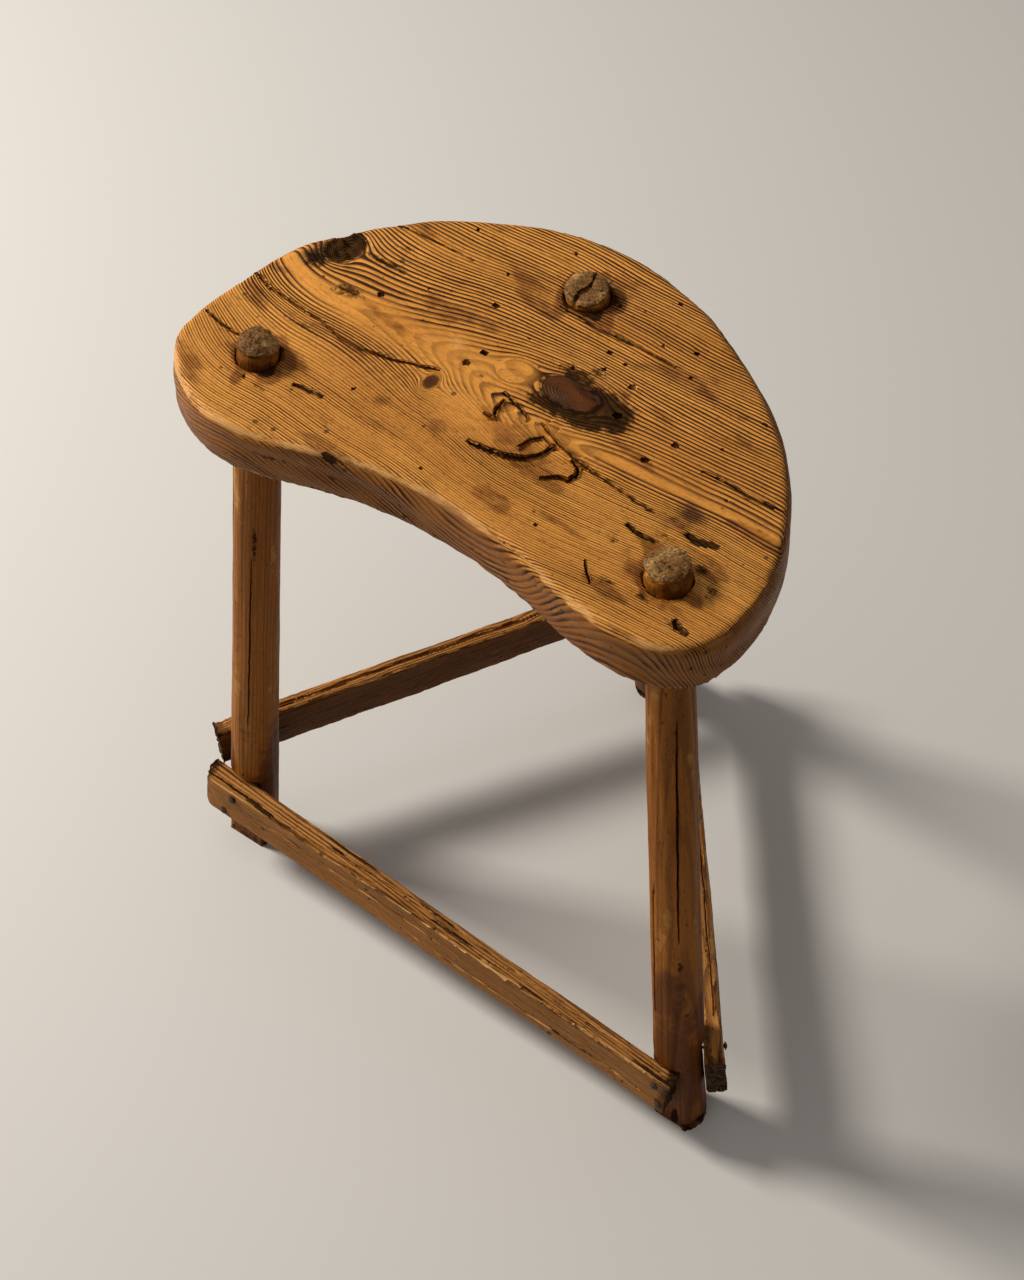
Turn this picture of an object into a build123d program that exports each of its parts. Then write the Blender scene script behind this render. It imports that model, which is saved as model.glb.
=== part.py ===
from build123d import *
from math import radians, tan
import os

# A hand-made wooden milking stool. A thick kidney-shaped plank is the seat. Three raking round legs end in
# tenons that go right through the plank. Three rails are nailed to the outside of the legs near the floor.
# Millimetres, +Z up. +X is the grain of the seat, from the front left leg to the front right leg.
# +Y goes from the hollow front edge to the round back edge.
# The model is laid out with the middle of the seat's front edge above the origin, and then moved as a whole,
# so that the origin is under the middle of the whole stool, on the floor.

# seat plank
seat_height = 487.0          # floor to sitting face
seat_length = 384.0          # along the grain, lobe to lobe
seat_depth = 247.5           # from the front lobes to the back edge
seat_thickness = 37.0
seat_top_round = 7.0
seat_bottom_round = 4.0

# the plank's outline, as shares of half the length (from the middle) and of the depth (from the front)
seat_outline = [
    (-1.000, 0.275),         # left lobe, furthest out
    (-0.937, 0.098),
    (-0.700, 0.000),         # left lobe, furthest forward
    (-0.281, 0.065),
    (0.000, 0.097),          # bottom of the hollow
    (0.387, 0.064),
    (0.695, 0.020),          # right lobe, furthest forward
    (0.937, 0.078),
    (1.000, 0.245),          # right lobe, furthest out
    (0.884, 0.551),
    (0.508, 0.849),
    (-0.185, 1.000),         # back edge
    (-0.619, 0.849),
    (-0.947, 0.522),
]

# leg places on the sitting face, measured in from the plank's edges
left_leg_from_end = 54.0
right_leg_from_end = 50.0
back_leg_from_end = 179.0    # from the left end
front_legs_from_front = 53.0
back_leg_from_back = 44.5

# leg leans, in degrees from plumb: outwards along X, and along Y
left_leg_lean = (-3.8, -3.5)
right_leg_lean = (7.5, -4.2)
back_leg_lean = (1.2, 11.8)

# leg diameters at the floor, under the seat and in the tenon, and the tenon's end above the seat
foot_diameter = 35.5
neck_diameter = 29.0
left_tenon_diameter = 25.5
right_tenon_diameter = 27.3
back_tenon_diameter = 27.5
left_tenon_stand = 14.0
right_tenon_stand = 13.0
back_tenon_stand = 7.5
tenon_clearance = 0.12
tenon_end_round = 1.0

# the split in the back tenon, and the wedge driven into it
wedge_width = 13.0
wedge_thickness = 3.6
wedge_length = 26.0
wedge_tip = 0.8
wedge_below_end = 1.5        # the wedge's top below the tenon's end
wedge_clearance = 0.1
split_width = 22.0           # the open slot above the wedge, across the tenon
split_depth = 5.4

# rails, each given at its first and its second leg: height of its middle above the floor, how tall it is,
# how far its seat on the leg is from the leg's axis, how thick it is, and how far it runs past the leg's axis
front_rail_heights = (62.5, 45.0)
front_rail_tall = (34.0, 38.0)
front_rail_seats = (10.0, 13.0)
front_rail_thick = (19.5, 13.5)
front_rail_ends = (26.0, 7.0)
side_rail_heights = (58.0, 56.0)
side_rail_tall = (40.0, 38.0)
side_rail_seats = (15.8, 15.8)
side_rail_thick = (14.5, 12.0)
side_rail_ends = (18.0, 21.0)
back_rail_heights = (102.5, 88.0)
back_rail_tall = (36.0, 41.5)
back_rail_seats = (15.8, 15.6)
back_rail_thick = (15.5, 13.5)
back_rail_ends = (19.0, 21.0)
rail_edge_round = 2.5
worn_end_round = 11.0        # the front rail's left end, worn away on its outer corner
worn_end_share = 0.7         # and never more than this share of the rail's thickness there
flat_above_rail = 2.0        # how far a leg's flat runs past the rail's top edge

# nails: hand-made, with a low faceted head, one or two at each lap
nail_diameter = 3.2
nail_head_diameter = 6.8
nail_head_height = 1.8
nail_head_crown = 3.0        # diameter of the small flat on top of the head
nail_head_sides = 8
nail_short = 1.0             # how far a nail's point stops short of the leg's axis, clear of other nails
nail_clearance = 0.08
nail_pair = {"upper": 9.5, "lower": -9.5}    # heights above the rail's middle
nail_single = {"single": 4.0}
nail_stagger = 4.0           # upper nails are nearer the rail's middle, lower ones nearer its end
end_nail_margin = 5.0        # least distance from a nail to a rail's sawn end

seat_bottom = seat_height - seat_thickness
big = 4 * seat_height        # larger than the whole stool, for cutting with half spaces
past = 20.0                  # how far a shape starts below the face that trims it
lap = 1.0                    # how far a tenon reaches down into its leg before they are joined
upright = (Align.CENTER, Align.CENTER, Align.MIN)


class Leg:
    """A round tapered leg on a leaning axis through a point on the sitting face."""

    def __init__(self, name, x, y, lean, tenon_diameter, tenon_stand):
        self.name = name
        self.head = Vector(x, y, seat_height)
        self.down = Vector(tan(radians(lean[0])), tan(radians(lean[1])), -1)
        self.up = (self.down * -1).normalized()
        self.tenon_diameter = tenon_diameter
        self.tenon_stand = tenon_stand

    def at(self, height):
        """The point of the leg's axis at a height above the floor."""
        return self.head + self.down * (seat_height - height)

    def plane(self, height):
        """A plane square to the leg's axis."""
        return Plane(origin=self.at(height), x_dir=(1, 0, 0), z_dir=self.up)

    def tenon(self, extra=0.0):
        """The tenon alone, from under the plank up to its end, thicker by the extra on its radius."""
        length = (seat_thickness + past) / self.up.Z
        radius = self.tenon_diameter / 2 + extra
        return self.plane(seat_bottom - past) * Cylinder(radius, length + self.tenon_stand, align=upright)


def outline_points():
    """The plank's outline in millimetres, front lobes on y = 0."""
    return [(x * seat_length / 2, y * seat_depth) for x, y in seat_outline]


def slab(low, high):
    """Everything between two heights."""
    return Pos(0, 0, low) * Box(big, big, high - low, align=upright)


def make_seat(legs):
    """The kidney-shaped plank, with a sloping hole for each tenon."""
    edge = Spline(*outline_points(), periodic=True)
    plank = extrude(make_face(edge), seat_thickness)
    plank = Pos(0, 0, seat_bottom) * plank
    top = plank.faces().sort_by(Axis.Z)[-1]
    plank = fillet(top.edges(), seat_top_round)
    bottom = plank.faces().sort_by(Axis.Z)[0]
    plank = fillet(bottom.edges(), seat_bottom_round)
    for leg in legs:
        plank -= leg.tenon(tenon_clearance)
    return plank


def make_leg(leg):
    """A leg with its tenon, cut flat at the floor and stopped flush against the plank's underside."""
    length = (seat_height + past) / leg.up.Z
    taper = (foot_diameter - neck_diameter) / 2 / (seat_bottom / leg.up.Z)
    low = foot_diameter / 2 + taper * past / leg.up.Z
    high = low - taper * length
    shaft = leg.plane(-past) * Cone(low, high, length, align=upright)
    shaft &= slab(0, seat_bottom)
    tenon = leg.tenon()
    end = tenon.faces().sort_by(Axis(leg.head, leg.up))[-1]
    tenon = chamfer(end.edges(), tenon_end_round)
    return shaft + (tenon & slab(seat_bottom - lap, 2 * seat_height))


class Rail:
    """A flat bar nailed across the outside of two legs, in a frame of its own."""

    def __init__(self, name, first, second, heights, tall, seats, thick, ends, nails, worn=False):
        self.name = name
        self.legs = (first, second)
        self.seats = seats
        self.thick = thick
        self.tall = tall
        self.ends = ends
        self.nails = nails
        self.worn = worn
        start = first.at(heights[0])
        run = second.at(heights[1]) - start
        lean = first.up + second.up
        self.span = run.length
        self.along = run.normalized()
        self.out = self.along.cross(lean).normalized()
        self.rise = self.out.cross(self.along)
        # plan frame of the rail: x along it, y inwards, z up its face
        self.frame = Plane(origin=start, x_dir=self.along, z_dir=self.rise)

    def blend(self, pair, s):
        """A size that changes evenly from the first leg to the second, at s along the rail."""
        return pair[0] + (pair[1] - pair[0]) * s / self.span

    def seat(self, s):
        """Distance from the line of the legs' axes out to the rail's inner face."""
        return self.blend(self.seats, s)

    def face(self, s):
        """Distance from the line of the legs' axes out to the rail's outer face."""
        return self.seat(s) + self.blend(self.thick, s)

    def section(self, s):
        """The rail's rectangular section at s."""
        high = self.blend(self.tall, s) / 2
        near, far = -self.seat(s), -self.face(s)
        corners = [(s, near, -high), (s, near, high), (s, far, high), (s, far, -high)]
        return make_face(Polyline(*corners, close=True))

    def bar(self):
        """The rail before its nail holes."""
        left = -self.ends[0]
        right = self.span + self.ends[1]
        bar = loft([self.section(left), self.section(right)], ruled=True)
        if self.worn:
            corner = bar.edges().filter_by(Axis.Z).sort_by(Axis.X)[:2].sort_by(Axis.Y)[0]
            bar = fillet(corner, min(worn_end_round, worn_end_share * self.blend(self.thick, left)))
        long_edges = bar.edges().filter_by(lambda edge: edge.length > self.span / 2)
        return self.frame * fillet(long_edges, rail_edge_round)

    def flat(self, leg_index):
        """What is shaved off a leg so that this rail bears on it: from the rail's top down to the floor."""
        middle = 0 if leg_index == 0 else self.span
        reach = foot_diameter
        low, high = -seat_height, self.tall[leg_index] / 2 + flat_above_rail
        near, far = middle - reach, middle + reach
        corners = [(near, -self.seat(near)), (far, -self.seat(far)), (far, -2 * reach), (near, -2 * reach)]
        section = make_face(Polyline(*corners, close=True))
        return self.frame * (Pos(0, 0, low) * extrude(section, high - low))

    def nail_places(self):
        """For each nail's name, a plane on the outer face with its z pointing out, and the nail's length."""
        places = {}
        for leg_index, leg in enumerate(self.legs):
            middle = 0 if leg_index == 0 else self.span
            inward = 1 if leg_index == 0 else -1
            room = self.ends[leg_index] - end_nail_margin
            for label, height in self.nails.items():
                aside = nail_stagger if height > 0 else max(-nail_stagger, -room)
                s = middle + inward * aside
                spot = self.frame.from_local_coords(Vector(s, -self.face(s), height))
                plane = Plane(origin=spot, x_dir=self.along, z_dir=self.out)
                places[f"{self.name}_nail_{leg.name}_{label}"] = plane, self.face(s) - nail_short
        return places


def make_nail(plane, length, extra=0.0):
    """A nail with a faceted head, its head's underside on the plane. The extra thickens the shank's radius."""
    radius = nail_diameter / 2 + extra
    shank_length = length - nail_diameter
    shank = Cylinder(radius, shank_length, align=(Align.CENTER, Align.CENTER, Align.MAX))
    tip = Cone(radius, nail_diameter / 8, nail_diameter, align=upright)
    tip = Pos(0, 0, -shank_length) * Rot(180, 0, 0) * tip
    head = loft([
        RegularPolygon(nail_head_diameter / 2, nail_head_sides),
        Pos(0, 0, nail_head_height) * RegularPolygon(nail_head_crown / 2, nail_head_sides),
    ])
    return plane * (shank + tip + head)


def make_wedge(leg, extra=0.0):
    """The wedge in a tenon's end, across the seat's grain. The extra is added on every side."""
    plane = leg.plane(seat_height + leg.tenon_stand - wedge_below_end)
    wide = wedge_width + 2 * extra
    upper = Rectangle(wedge_thickness + 2 * extra, wide)
    lower = Pos(0, 0, -wedge_length) * Rectangle(wedge_tip + 2 * extra, wide)
    return plane * loft([lower, upper])


def make_split(leg):
    """The open split in a tenon's end: the wedge's own place, opened above it and run out to one side."""
    plane = leg.plane(seat_height + leg.tenon_stand)
    mouth = Box(wedge_thickness, split_width, 2 * split_depth)
    return make_wedge(leg, wedge_clearance) + plane * mouth


def main():
    half = seat_length / 2
    left = Leg("left", -half + left_leg_from_end, front_legs_from_front, left_leg_lean,
               left_tenon_diameter, left_tenon_stand)
    right = Leg("right", half - right_leg_from_end, front_legs_from_front, right_leg_lean,
                right_tenon_diameter, right_tenon_stand)
    back = Leg("back", -half + back_leg_from_end, seat_depth - back_leg_from_back, back_leg_lean,
               back_tenon_diameter, back_tenon_stand)
    legs = [left, right, back]
    rails = [
        Rail("front_rail", left, right, front_rail_heights, front_rail_tall, front_rail_seats,
             front_rail_thick, front_rail_ends, nail_pair, worn=True),
        Rail("side_rail", right, back, side_rail_heights, side_rail_tall, side_rail_seats,
             side_rail_thick, side_rail_ends, nail_single),
        Rail("back_rail", back, left, back_rail_heights, back_rail_tall, back_rail_seats,
             back_rail_thick, back_rail_ends, nail_pair),
    ]

    parts = {"seat_plank": make_seat(legs)}
    for leg in legs:
        solid = make_leg(leg)
        for rail in rails:
            if leg in rail.legs:
                solid -= rail.flat(rail.legs.index(leg))
        parts[f"{leg.name}_leg"] = solid
    parts["back_leg"] -= make_split(back)
    parts["back_tenon_wedge"] = make_wedge(back)

    for rail in rails:
        bar = rail.bar()
        for name, (plane, length) in rail.nail_places().items():
            hole = make_nail(plane, length, nail_clearance)
            bar -= hole
            for leg in rail.legs:
                parts[f"{leg.name}_leg"] -= hole
            parts[name] = make_nail(plane, length)
        parts[rail.name] = bar

    whole = Compound(children=[Compound(solid.solids()) for solid in parts.values()]).bounding_box()
    home = Pos(-(whole.min.X + whole.max.X) / 2, -(whole.min.Y + whole.max.Y) / 2, -whole.min.Z)
    os.makedirs("parts", exist_ok=True)
    for name, solid in parts.items():
        export_step(home * solid, f"parts/{name}.step")
    for leg in legs:
        for where, height in (("floor", 0), ("seat", seat_height)):
            spot = home * Pos(*leg.at(height))
            print(leg.name, "leg axis at the", where, [round(v, 2) for v in spot.position])
    print("moved by", [round(v, 3) for v in home.position])


main()
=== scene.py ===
# %% [markdown]
# # An old wooden milking stool
# The stool is a thick kidney-shaped plank on three raking round legs, held together near the floor by three
# rails nailed to the legs. The sizes and places all come from the frame, which is loaded first. Its box is
# kept, because the finished stool has to stay inside it.

# %% Load the frame
import math

import bmesh
import bpy
import numpy as np
from mathutils import Matrix, Vector


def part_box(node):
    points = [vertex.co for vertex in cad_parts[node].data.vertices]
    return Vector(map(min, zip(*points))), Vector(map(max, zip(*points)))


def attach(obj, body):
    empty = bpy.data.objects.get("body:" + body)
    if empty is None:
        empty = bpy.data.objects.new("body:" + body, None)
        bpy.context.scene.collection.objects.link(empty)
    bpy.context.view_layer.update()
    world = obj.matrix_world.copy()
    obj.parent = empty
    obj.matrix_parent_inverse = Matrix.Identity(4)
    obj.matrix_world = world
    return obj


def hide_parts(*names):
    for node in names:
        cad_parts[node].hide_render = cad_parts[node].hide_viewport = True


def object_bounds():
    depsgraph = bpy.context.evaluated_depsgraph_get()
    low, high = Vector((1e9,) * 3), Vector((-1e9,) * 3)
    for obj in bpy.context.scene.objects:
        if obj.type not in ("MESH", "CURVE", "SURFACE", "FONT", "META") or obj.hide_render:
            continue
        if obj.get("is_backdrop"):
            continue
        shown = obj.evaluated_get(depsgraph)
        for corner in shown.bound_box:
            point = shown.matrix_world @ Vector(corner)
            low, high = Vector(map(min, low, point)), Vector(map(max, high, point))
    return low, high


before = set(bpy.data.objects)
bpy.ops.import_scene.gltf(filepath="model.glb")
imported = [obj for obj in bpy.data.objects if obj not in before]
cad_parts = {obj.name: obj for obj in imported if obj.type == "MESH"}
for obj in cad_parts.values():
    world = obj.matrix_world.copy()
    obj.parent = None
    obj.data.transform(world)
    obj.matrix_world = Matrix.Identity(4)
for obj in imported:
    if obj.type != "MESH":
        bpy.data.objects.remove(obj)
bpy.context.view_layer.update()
MM = 0.001

# %% [markdown]
# ## The view
# A seat this low is looked down on. The camera stands to the front right, well above the seat, and looks at a
# point about half-way up. A longish lens keeps the legs from splaying too much.

# %% Camera
view_azimuth = math.radians(35.7)
view_elevation = math.radians(52.5)
view_distance = 1.5213
view_target = Vector((-0.0237, -0.0410, 0.25))

camera_data = bpy.data.cameras.new("Camera")
camera_data.lens = 66.43
camera_data.sensor_width = 36.0
camera = bpy.data.objects.new("Camera", camera_data)
bpy.context.scene.collection.objects.link(camera)
away = Vector((math.sin(view_azimuth) * math.cos(view_elevation),
               -math.cos(view_azimuth) * math.cos(view_elevation),
               math.sin(view_elevation)))
camera.location = view_target + away * view_distance
camera.rotation_euler = (-away).to_track_quat("-Z", "Y").to_euler()
bpy.context.scene.camera = camera
bpy.context.scene.view_settings.view_transform = "Standard"
print("camera at", [round(v, 3) for v in camera.location])

# %% [markdown]
# ## Floor and light
# The floor is plain and pale. One large lamp low on the left rakes across the seat, so that every ridge and
# crack casts a small shadow, and a wide weak one overhead with a pale sky fills the shadows in.

# %% Floor
def link(piece):
    """Puts an object in the scene."""
    bpy.context.scene.collection.objects.link(piece)
    return piece


floor_shape = bmesh.new()
bmesh.ops.create_grid(floor_shape, x_segments=2, y_segments=2, size=6.0)
floor_mesh = bpy.data.meshes.new("Floor")
floor_shape.to_mesh(floor_mesh)
floor_shape.free()
floor = link(bpy.data.objects.new("Floor", floor_mesh))
floor_paint = bpy.data.materials.new("Pale floor")
floor_paint.use_nodes = True
floor_shader = floor_paint.node_tree.nodes["Principled BSDF"]
floor_shader.inputs["Base Color"].default_value = (0.62, 0.60, 0.57, 1)
floor_shader.inputs["Roughness"].default_value = 0.75
floor_mesh.materials.append(floor_paint)
floor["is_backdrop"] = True


# %% Lamps and sky
def lamp(name, travel, elevation, distance, size, power, colour):
    """A square lamp that shines the way its light travels over the floor, from a height in degrees."""
    data = bpy.data.lights.new(name, "AREA")
    data.shape = "SQUARE"
    data.size = size
    data.energy = power
    data.color = colour
    piece = link(bpy.data.objects.new(name, data))
    rise = math.radians(elevation)
    flat = Vector((travel[0], travel[1], 0)).normalized() * math.cos(rise)
    ray = flat - Vector((0, 0, math.sin(rise)))
    piece.location = view_target - ray * distance
    piece.rotation_euler = ray.to_track_quat("-Z", "Y").to_euler()
    return piece


lamp("Key", (0.97, 0.22), 36, 2.6, 0.6, 76, (1.0, 0.95, 0.88))
lamp("Fill", (0.4, 0.6), 80, 3.0, 2.6, 14, (1.0, 0.97, 0.93))
sky = bpy.data.worlds.new("Pale sky")
sky.use_nodes = True
sky.node_tree.nodes["Background"].inputs["Color"].default_value = (1.0, 0.97, 0.93, 1)
sky.node_tree.nodes["Background"].inputs["Strength"].default_value = 0.2
bpy.context.scene.world = sky

# %% [markdown]
# ## Helpers for shape
# Old wood has no clean faces, so each wooden piece starts as a copy of its frame piece, is rebuilt as a fine
# even mesh by a voxel remesh, and is then cut and worn. Cracks and worm holes are cut with closed cutters,
# and wear moves the mesh's points inwards, so a piece never grows out of the room that it has.

# %% Copy, remesh and cut
def copy_of(name):
    """A frame piece's mesh as a bmesh, with its loose triangles merged."""
    shape = bmesh.new()
    shape.from_mesh(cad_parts[name].data)
    bmesh.ops.remove_doubles(shape, verts=shape.verts, dist=0.002 * MM)
    return shape


def piece_from(shape, name):
    """Turns a bmesh into an object at the origin."""
    mesh = bpy.data.meshes.new(name)
    shape.to_mesh(mesh)
    shape.free()
    return link(bpy.data.objects.new(name, mesh))


def bake_modifiers(piece):
    """Applies what its modifiers do to the piece's own mesh."""
    graph = bpy.context.evaluated_depsgraph_get()
    finished = bpy.data.meshes.new_from_object(piece.evaluated_get(graph))
    piece.modifiers.clear()
    piece.data = finished


def remesh(piece, size):
    """Rebuilds the piece from even quads of about this size."""
    grid = piece.modifiers.new("Even mesh", "REMESH")
    grid.mode = "VOXEL"
    grid.voxel_size = size
    bake_modifiers(piece)


def cut(piece, cutter):
    """Takes a closed cutter out of the piece and throws the cutter away."""
    saw = piece.modifiers.new("Cut", "BOOLEAN")
    saw.operation = "DIFFERENCE"
    saw.solver = "MANIFOLD"
    saw.object = cutter
    bake_modifiers(piece)
    bpy.data.objects.remove(cutter)


# %% Crack and hole cutters
def grow(shape, face, spots):
    """Extrudes a face to new places for its corners and takes out any face left inside."""
    grown = bmesh.ops.extrude_face_region(shape, geom=[face], use_keep_orig=True)["geom"]
    fresh = [g for g in grown if isinstance(g, bmesh.types.BMFace)][0]
    if len(shape.faces) > len(face.verts) + 2:
        bmesh.ops.delete(shape, geom=[face], context="FACES_ONLY")
    for vertex, spot in zip(fresh.verts, spots):
        vertex.co = spot
    return fresh


def crack(shape, points, width, depth, up=Vector((0, 0, 1))):
    """A V-shaped blade along a run of points on a surface, thin at its ends."""
    stand = 2 * MM              # how far the blade stands clear of the surface
    last = len(points) - 1
    face = None
    for i, point in enumerate(points):
        ahead = (points[min(i + 1, last)] - points[max(i - 1, 0)]).normalized()
        side = ahead.cross(up).normalized()
        part = 0.18 + 0.82 * math.sin(math.pi * (i + 0.5) / (last + 1)) ** 0.6
        half, down = width * part / 2, depth * part
        spots = [point + side * half * 1.4 + up * stand, point - side * half * 1.4 + up * stand,
                 point - side * half, point - up * down, point + side * half]
        if face is None:
            face = shape.faces.new([shape.verts.new(spot) for spot in spots])
        else:
            face = grow(shape, face, spots)


def hole(shape, spot, across, depth, lean):
    """A round tapered worm hole, a little aslant, through a point of a level surface."""
    turn = (Matrix.Translation(spot) @ Matrix.Rotation(lean[0], 4, "X")
            @ Matrix.Rotation(lean[1], 4, "Y"))
    bmesh.ops.create_cone(shape, cap_ends=True, segments=16, radius1=across * 0.32, radius2=across * 0.46,
                          depth=depth * 2, matrix=turn)


def cutters(name, build):
    """A closed cutter made by a function that fills a bmesh, with its faces turned outwards."""
    shape = bmesh.new()
    build(shape)
    bmesh.ops.recalc_face_normals(shape, faces=shape.faces)
    return piece_from(shape, name)


# %% Numbers for every point of a mesh
def points_of(piece):
    """The piece's points in millimetres, as an array."""
    flat = np.empty(len(piece.data.vertices) * 3)
    piece.data.vertices.foreach_get("co", flat)
    return flat.reshape(-1, 3) / MM


def normals_of(piece):
    """The outward direction at each point."""
    flat = np.empty(len(piece.data.vertices) * 3)
    piece.data.vertex_normals.foreach_get("vector", flat)
    return flat.reshape(-1, 3)


def move_points(piece, points, node):
    """Puts the points back, held inside the box of the frame piece that this one stands for."""
    low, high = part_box(node)
    held = np.clip(points, np.array(low) / MM, np.array(high) / MM) * MM
    piece.data.vertices.foreach_set("co", held.ravel())
    piece.data.update()


def store(piece, name, values):
    """Keeps one number, or one vector, for each point, for the materials to read."""
    kind, field = ("FLOAT", "value") if values.ndim == 1 else ("FLOAT_VECTOR", "vector")
    layer = piece.data.attributes.new(name, kind, "POINT")
    layer.data.foreach_set(field, values.astype(np.float32).ravel())


def ripple(points, size, seed):
    """A smooth seeded field between about -1 and 1, with bumps of about a size along each axis."""
    waves = 9
    rng = np.random.default_rng(seed)
    way = rng.normal(size=(waves, 3))
    way /= np.linalg.norm(way, axis=1)[:, None]
    way *= 2 * math.pi / (np.array(size) * 2.0)
    way *= rng.uniform(0.6, 1.7, (waves, 1))
    phase = rng.uniform(0, 2 * math.pi, waves)
    total = np.zeros(len(points))
    for one, start in zip(way, phase):
        total += np.sin(points @ one + start)
    return total / math.sqrt(waves / 2) / 1.6


def ease(value, low, high):
    """0 below the low value and 1 above the high one, with a soft step between."""
    share = np.clip((value - low) / (high - low), 0, 1)
    return share * share * (3 - 2 * share)


def spot(points, centre, size, soft):
    """1 inside an ellipse on the seat's top, fading to 0 over a share of its size."""
    away = np.hypot((points[:, 0] - centre[0]) / size[0], (points[:, 1] - centre[1]) / size[1])
    return 1 - ease(away, 1 - soft, 1 + soft)


def stained(points, mask, table, soft):
    """A mask with ellipses laid over it. Each row is x, y, width, height and strength."""
    for x, y, wide, high, strength in table:
        mask = np.maximum(mask, strength * spot(points, (x, y), (wide, high), soft))
    return mask


def distance_to(points, path):
    """Distance of each point from a line of straight runs, seen from above."""
    best = np.full(len(points), 1e9)
    for a, b in zip(path[:-1], path[1:]):
        a, b = np.array(a[:2], float), np.array(b[:2], float)
        run = b - a
        share = np.clip((points[:, :2] - a) @ run / (run @ run), 0, 1)
        best = np.minimum(best, np.linalg.norm(points[:, :2] - a - share[:, None] * run, axis=1))
    return best


def complete(piece, node, finish, crisp=45):
    """Gives a piece its finish, smooth shading up to an angle in degrees, and its place in the frame."""
    piece.data.materials.clear()
    piece.data.materials.append(finish)
    piece.data.polygons.foreach_set("use_smooth", np.ones(len(piece.data.polygons), bool))
    piece.data.set_sharp_from_angle(angle=math.radians(crisp))
    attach(piece, "root")
    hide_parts(node)


def dress(piece, rings, fibre, **masks):
    """Stores what the wood finishes read, for each point. A mask that isn't given is nothing."""
    store(piece, "rings", rings)
    store(piece, "fibre", fibre)
    for name in ("char", "resin", "grime", "rubbed", "faint", "sawn"):
        mask = masks.get(name, 0.0) + np.zeros(len(rings))
        store(piece, name, np.clip(mask, 0, 1))


# %% [markdown]
# ## Helpers for materials
# Shader nodes are added by a short helper, so that a material reads like a recipe. Effects that the finishes
# share, the grain of old wood and the dirt and wear on it, are node groups with named inputs and outputs.

# %% A node tree writer
class Recipe:
    """Adds nodes to a tree and joins them. A value may be a number, a colour or a node's output."""

    def __init__(self, tree):
        self.tree = tree

    def add(self, kind, values=None, **settings):
        node = self.tree.nodes.new(kind)
        for name, value in settings.items():
            setattr(node, name, value)
        self.fill(node, values or {})
        return node

    def fill(self, node, values):
        """Sets or joins a node's inputs, by name or by number."""
        for name, value in values.items():
            if isinstance(value, bpy.types.NodeSocket):
                self.tree.links.new(value, node.inputs[name])
            else:
                node.inputs[name].default_value = value

    def math(self, operation, *values):
        node = self.add("ShaderNodeMath", dict(enumerate(values)), operation=operation)
        return node.outputs[0]

    def vector(self, operation, *values):
        node = self.add("ShaderNodeVectorMath", dict(enumerate(values)), operation=operation)
        return node.outputs[0]

    def mix(self, factor, first, second, blend="MIX"):
        """Two colours mixed. The numbers are the node's sockets for a factor and two colours."""
        node = self.add("ShaderNodeMix", data_type="RGBA", blend_type=blend)
        self.fill(node, {0: factor, 6: first, 7: second})
        return node.outputs[2]

    def span(self, value, low, high, to_low=0.0, to_high=1.0):
        """A soft step from one value to another."""
        names = {"Value": value, "From Min": low, "From Max": high, "To Min": to_low, "To Max": to_high}
        return self.add("ShaderNodeMapRange", names, interpolation_type="SMOOTHSTEP").outputs[0]

    def noise(self, place, stretch, detail=3.0, roughness=0.55):
        """Noise on a place that is stretched first, so that it can run along the fibres."""
        place = self.vector("MULTIPLY", place, stretch)
        names = {"Vector": place, "Scale": 1.0, "Detail": detail, "Roughness": roughness}
        return self.add("ShaderNodeTexNoise", names).outputs["Fac"]

    def attribute(self, name, output="Fac"):
        return self.add("ShaderNodeAttribute", attribute_name=name).outputs[output]


def group(name, inputs, outputs):
    """An empty node group with named sockets, and its recipe, its input node and its output node."""
    tree = bpy.data.node_groups.new(name, "ShaderNodeTree")
    for socket, kind in inputs:
        tree.interface.new_socket(socket, in_out="INPUT", socket_type=f"NodeSocket{kind}")
    for socket, kind in outputs:
        tree.interface.new_socket(socket, in_out="OUTPUT", socket_type=f"NodeSocket{kind}")
    recipe = Recipe(tree)
    return tree, recipe, recipe.add("NodeGroupInput").outputs, recipe.add("NodeGroupOutput")


# %% [markdown]
# ## The grain of old softwood
# A growth ring is pale spring wood that darkens slowly and then stops at a sharp edge of dark summer wood.
# A point's ring number is worked out from its place in the tree, so the lines on the top, the sides and the
# ends of one piece belong together. The group only has to colour the rings, and to add what is finer than a
# ring: fibres, pores and slow changes of tone.

# %% Grain group
grain, g, given, out = group(
    "Grain of old wood",
    [("Rings", "Float"), ("Fibre", "Vector"), ("Contrast", "Float"), ("Pores", "Float"),
     ("Spring wood", "Color"), ("Summer wood", "Color")],
    [("Color", "Color"), ("Summer", "Float"), ("Height", "Float")])
wobble = g.math("SUBTRACT", g.noise(given["Fibre"], (18, 170, 170)), 0.5)
rings = g.math("ADD", given["Rings"], g.math("MULTIPLY", wobble, 0.55))
ring_number = g.math("FLOOR", rings)
share = g.math("FRACT", rings)
chance = g.add("ShaderNodeTexWhiteNoise", {"W": ring_number}, noise_dimensions="1D").outputs["Value"]
chance_two = g.add("ShaderNodeTexWhiteNoise", {"W": g.math("ADD", ring_number, 71.3)},
                   noise_dimensions="1D").outputs["Value"]    # a second draw for the same ring
rise = g.span(share, g.math("MULTIPLY_ADD", chance, 0.34, 0.1), 0.8)
fall = g.span(share, 0.9, 1.0, 1.0, 0.0)
streaks = g.noise(given["Fibre"], (30, 1100, 1100), detail=4.0)
patches = g.noise(given["Fibre"], (16, 60, 60), detail=2.0)
strength = g.math("MULTIPLY", given["Contrast"], g.math("MULTIPLY_ADD", chance_two, 0.55, 0.68))
strength = g.math("MULTIPLY", strength, g.span(patches, 0.25, 0.7, 0.72, 1.2))
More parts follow.
